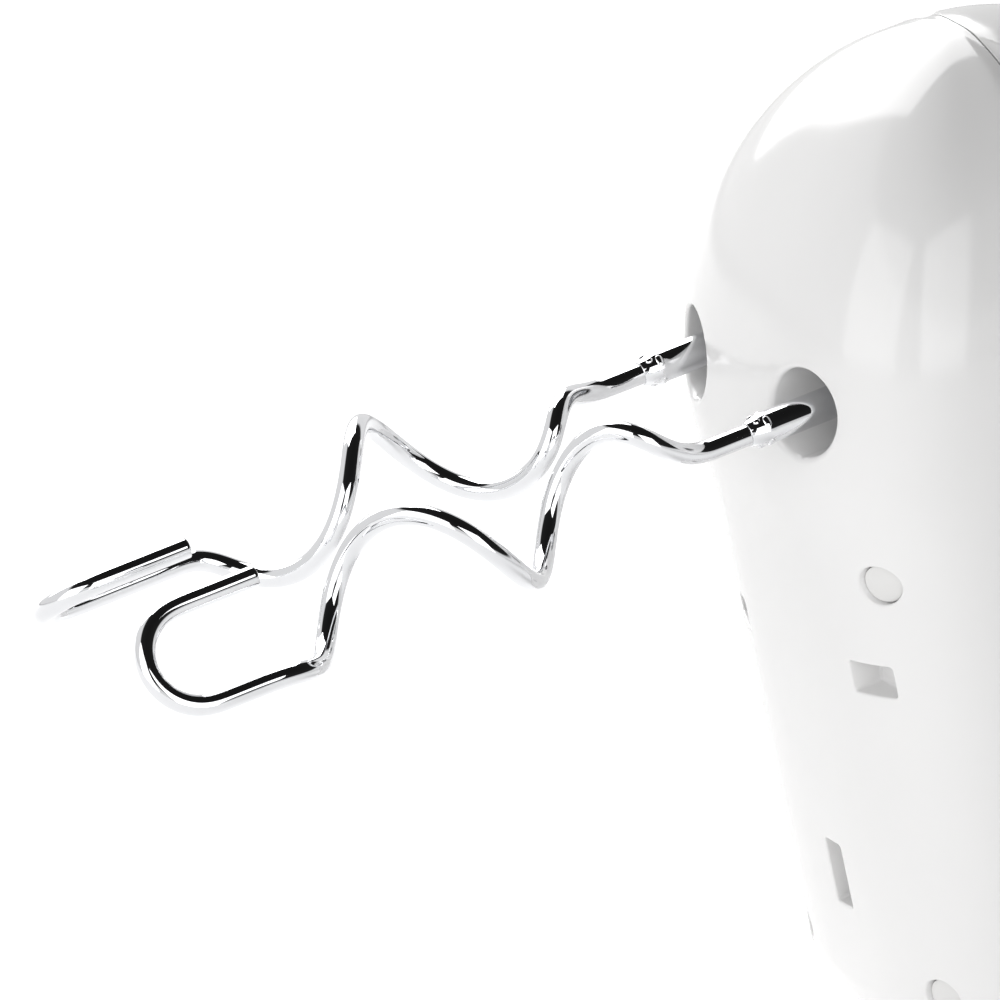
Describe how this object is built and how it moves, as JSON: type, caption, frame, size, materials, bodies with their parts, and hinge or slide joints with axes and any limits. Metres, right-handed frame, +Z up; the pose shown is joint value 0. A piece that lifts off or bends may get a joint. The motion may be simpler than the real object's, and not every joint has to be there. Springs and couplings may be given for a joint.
{
  "type": "hand mixer",
  "caption": "Upright hand mixer on its heel: rounded white housing with a loop grip, worm-driven twin sockets and two bent-wire dough hooks.",
  "frame": {"origin": "middle of the motor housing's flat heel face, on the floor", "axes": "+Z up from the floor; -Y towards the dough hooks; X across the mixer, with the hooks side by side"},
  "size_m": [0.088, 0.2778, 0.1957],
  "materials": {
    "white_plastic": "glossy near-white injection moulding",
    "grey_plastic": "satin mid grey",
    "dark_plastic": "satin near-black",
    "soft_rubber": "soft matte grey",
    "nylon": "natural off-white nylon",
    "chrome": "bright mirror chrome plating",
    "steel": "plain machined steel",
    "lamination": "dark varnished electrical steel",
    "copper": "enamelled copper",
    "bronze": "sintered bronze",
    "carbon": "carbon graphite block",
    "board_green": "green solder mask",
    "lead_blue": "blue jacket"
  },
  "bodies": {
    "housing": {"motor_housing": "white_plastic", "handle_housing": "white_plastic", "grip_pad": "soft_rubber", "cord_inlet": "dark_plastic", "ejector_spring": "steel", "stator_core": "lamination", "field_coil_front": "copper", "field_coil_back": "copper", "bearing_nose": "bronze", "bearing_front": "bronze", "bearing_rear": "bronze", "rear_bracket": "dark_plastic", "gearbox_frame": "nylon", "gearbox_cover": "nylon", "speed_switch": "dark_plastic", "circuit_board": "board_green", "suppression_capacitor": "lead_blue", "terminal_block": "nylon", "brush_holder_left": "dark_plastic", "brush_holder_right": "dark_plastic", "carbon_brush_left": "carbon", "carbon_brush_right": "carbon", "brush_spring_left": "steel", "brush_spring_right": "steel", "motor_lead_left": "lead_blue", "motor_lead_right": "lead_blue", "housing_screw_upper_left": "steel", "housing_screw_upper_right": "steel", "housing_screw_lower_left": "steel", "housing_screw_lower_right": "steel", "screw_plug_upper_left": "white_plastic", "screw_plug_upper_right": "white_plastic", "screw_plug_lower_left": "white_plastic", "screw_plug_lower_right": "white_plastic"},
    "rotor": {"motor_shaft": "steel", "worm": "steel", "armature_core": "lamination", "armature_winding_nose": "copper", "armature_winding_heel": "copper", "commutator": "copper", "cooling_fan": "nylon"},
    "drive_left": {"worm_wheel_left": "nylon", "spindle_left": "steel"},
    "drive_right": {"worm_wheel_right": "nylon", "spindle_right": "steel"},
    "hook_left": {"hook_shank_left": "chrome", "hook_wire_left": "chrome"},
    "hook_right": {"hook_shank_right": "chrome", "hook_wire_right": "chrome"},
    "ejector": {"eject_button": "grey_plastic", "ejector_plate": "nylon"},
    "selector": {"speed_selector": "grey_plastic"},
    "turbo": {"turbo_button": "grey_plastic"}
  },
  "joints": [
    {"name": "motor_spin", "type": "hinge", "parent": "housing", "child": "rotor", "pos_m": [0, -0.0152, 0.08104], "axis": [0, -0.2181, 0.9759], "continuous": true},
    {"name": "drive_left_spin", "type": "hinge", "parent": "housing", "child": "drive_left", "pos_m": [-0.021, -0.02829, 0.1396], "axis": [0, 0.9759, 0.2181], "continuous": true},
    {"name": "drive_right_spin", "type": "hinge", "parent": "housing", "child": "drive_right", "pos_m": [0.021, -0.02829, 0.1396], "axis": [0, 0.9759, 0.2181], "continuous": true},
    {"name": "eject_press", "type": "slide", "parent": "housing", "child": "ejector", "axis": [0, -0.9759, -0.2181], "range_m": [0, 0.005], "stiffness_N_per_m": 500, "springref_m": -0.004},
    {"name": "hook_left_release", "type": "slide", "parent": "drive_left", "child": "hook_left", "axis": [0, -0.9759, -0.2181], "range_m": [0, 0.005]},
    {"name": "hook_right_release", "type": "slide", "parent": "drive_right", "child": "hook_right", "axis": [0, -0.9759, -0.2181], "range_m": [0, 0.005]},
    {"name": "speed_select", "type": "slide", "parent": "housing", "child": "selector", "axis": [0, -0.2181, 0.9759], "range_m": [0, 0.014]},
    {"name": "turbo_press", "type": "slide", "parent": "housing", "child": "turbo", "axis": [0, -0.9759, -0.2181], "range_m": [0, 0.002], "stiffness_N_per_m": 300, "springref_m": -0.002}
  ],
  "couplings": [
    {"joint": "drive_left_spin", "follows": "motor_spin", "ratio": 0.033333},
    {"joint": "drive_right_spin", "follows": "motor_spin", "ratio": -0.033333},
    {"joint": "hook_left_release", "follows": "eject_press", "ratio": 1},
    {"joint": "hook_right_release", "follows": "eject_press", "ratio": 1}
  ]
}
